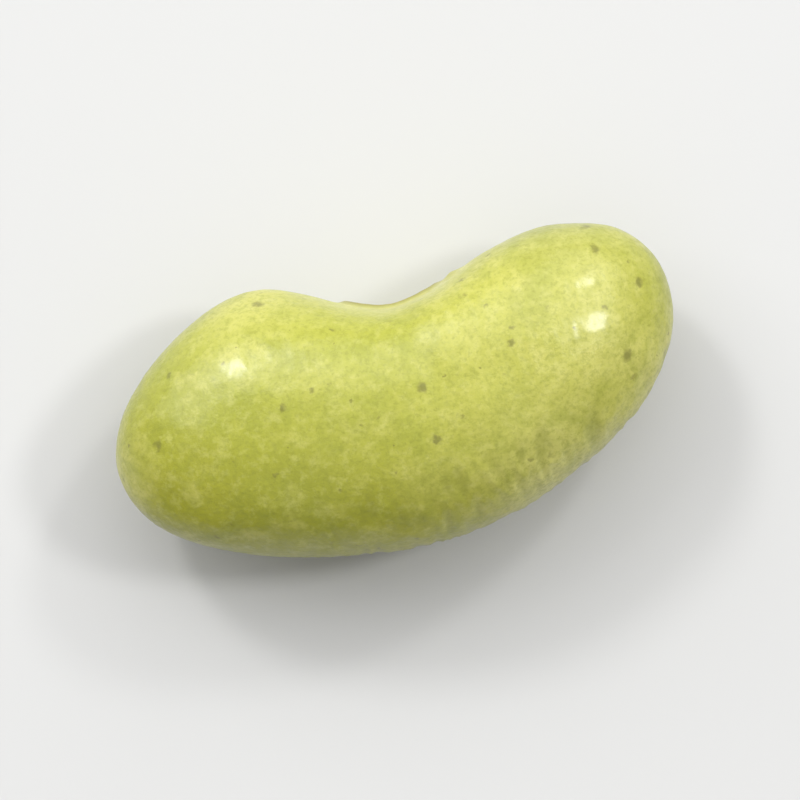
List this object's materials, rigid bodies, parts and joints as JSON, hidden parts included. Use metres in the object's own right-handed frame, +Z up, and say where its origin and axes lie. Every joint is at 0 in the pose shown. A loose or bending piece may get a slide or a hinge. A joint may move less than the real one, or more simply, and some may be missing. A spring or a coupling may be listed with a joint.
{
  "type": "verdina bean",
  "caption": "Dry pale green kidney-shaped bean with an oval hilum scar in its hollow side, lying on its flank.",
  "frame": {"origin": "on the ground plane below the middle of the bean's length and width", "axes": "+X along the bean towards its narrower, further upturned end, +Y towards the hollow side with the hilum, +Z up through the flank that faces the camera"},
  "size_m": [0.013, 0.0066, 0.0046],
  "materials": {
    "skin": "smooth dry seed coat with a soft sheen, yellow-green with faint mottling and a few dark green specks"
  },
  "bodies": {
    "root": {"bean": "skin"}
  },
  "joints": []
}
